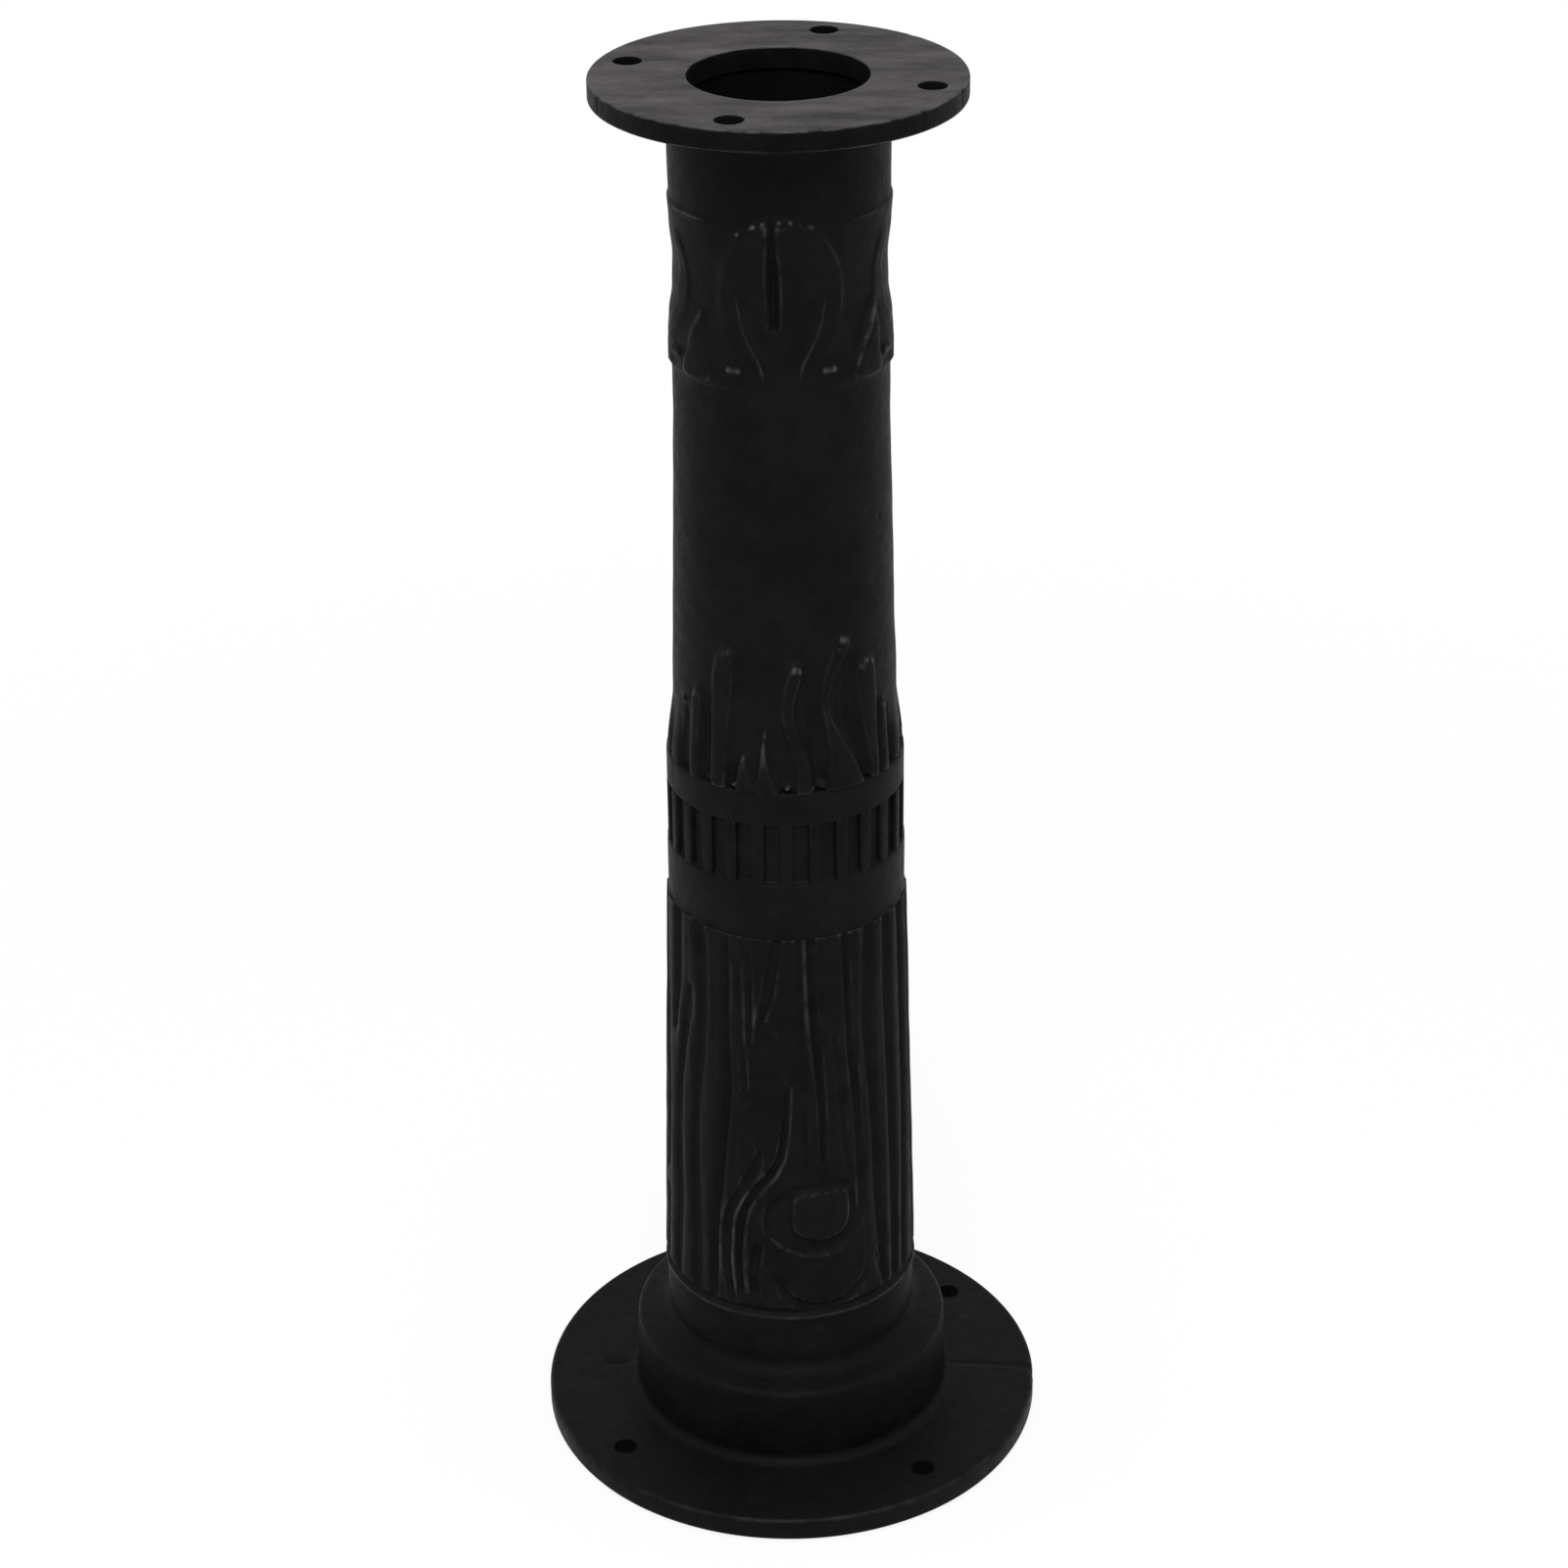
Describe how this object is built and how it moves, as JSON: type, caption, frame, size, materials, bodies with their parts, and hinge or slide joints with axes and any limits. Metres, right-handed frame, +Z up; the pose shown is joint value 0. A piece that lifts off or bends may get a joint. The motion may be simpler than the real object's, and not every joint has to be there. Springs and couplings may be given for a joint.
{
  "type": "pump stand",
  "caption": "Tall hollow cast-iron stand with a wide bolted base, a tree-trunk column with a ribbed band, and a round top flange that carries a hand pump.",
  "frame": {"origin": "centre of the underside of the base flange", "axes": "+Z up along the column, -Y towards the front, +X to the right when seen from the front"},
  "size_m": [0.236, 0.236, 0.66],
  "materials": {
    "trunk_paint": "satin black paint over sand-cast iron",
    "base_paint": "satin black paint, slightly dusty",
    "flange_paint": "satin black paint, worn grey on its upper face"
  },
  "bodies": {
    "root": {"base": "base_paint", "lower_trunk": "trunk_paint", "ribbed_band": "trunk_paint", "upper_trunk": "trunk_paint", "top_flange": "flange_paint"}
  },
  "joints": []
}
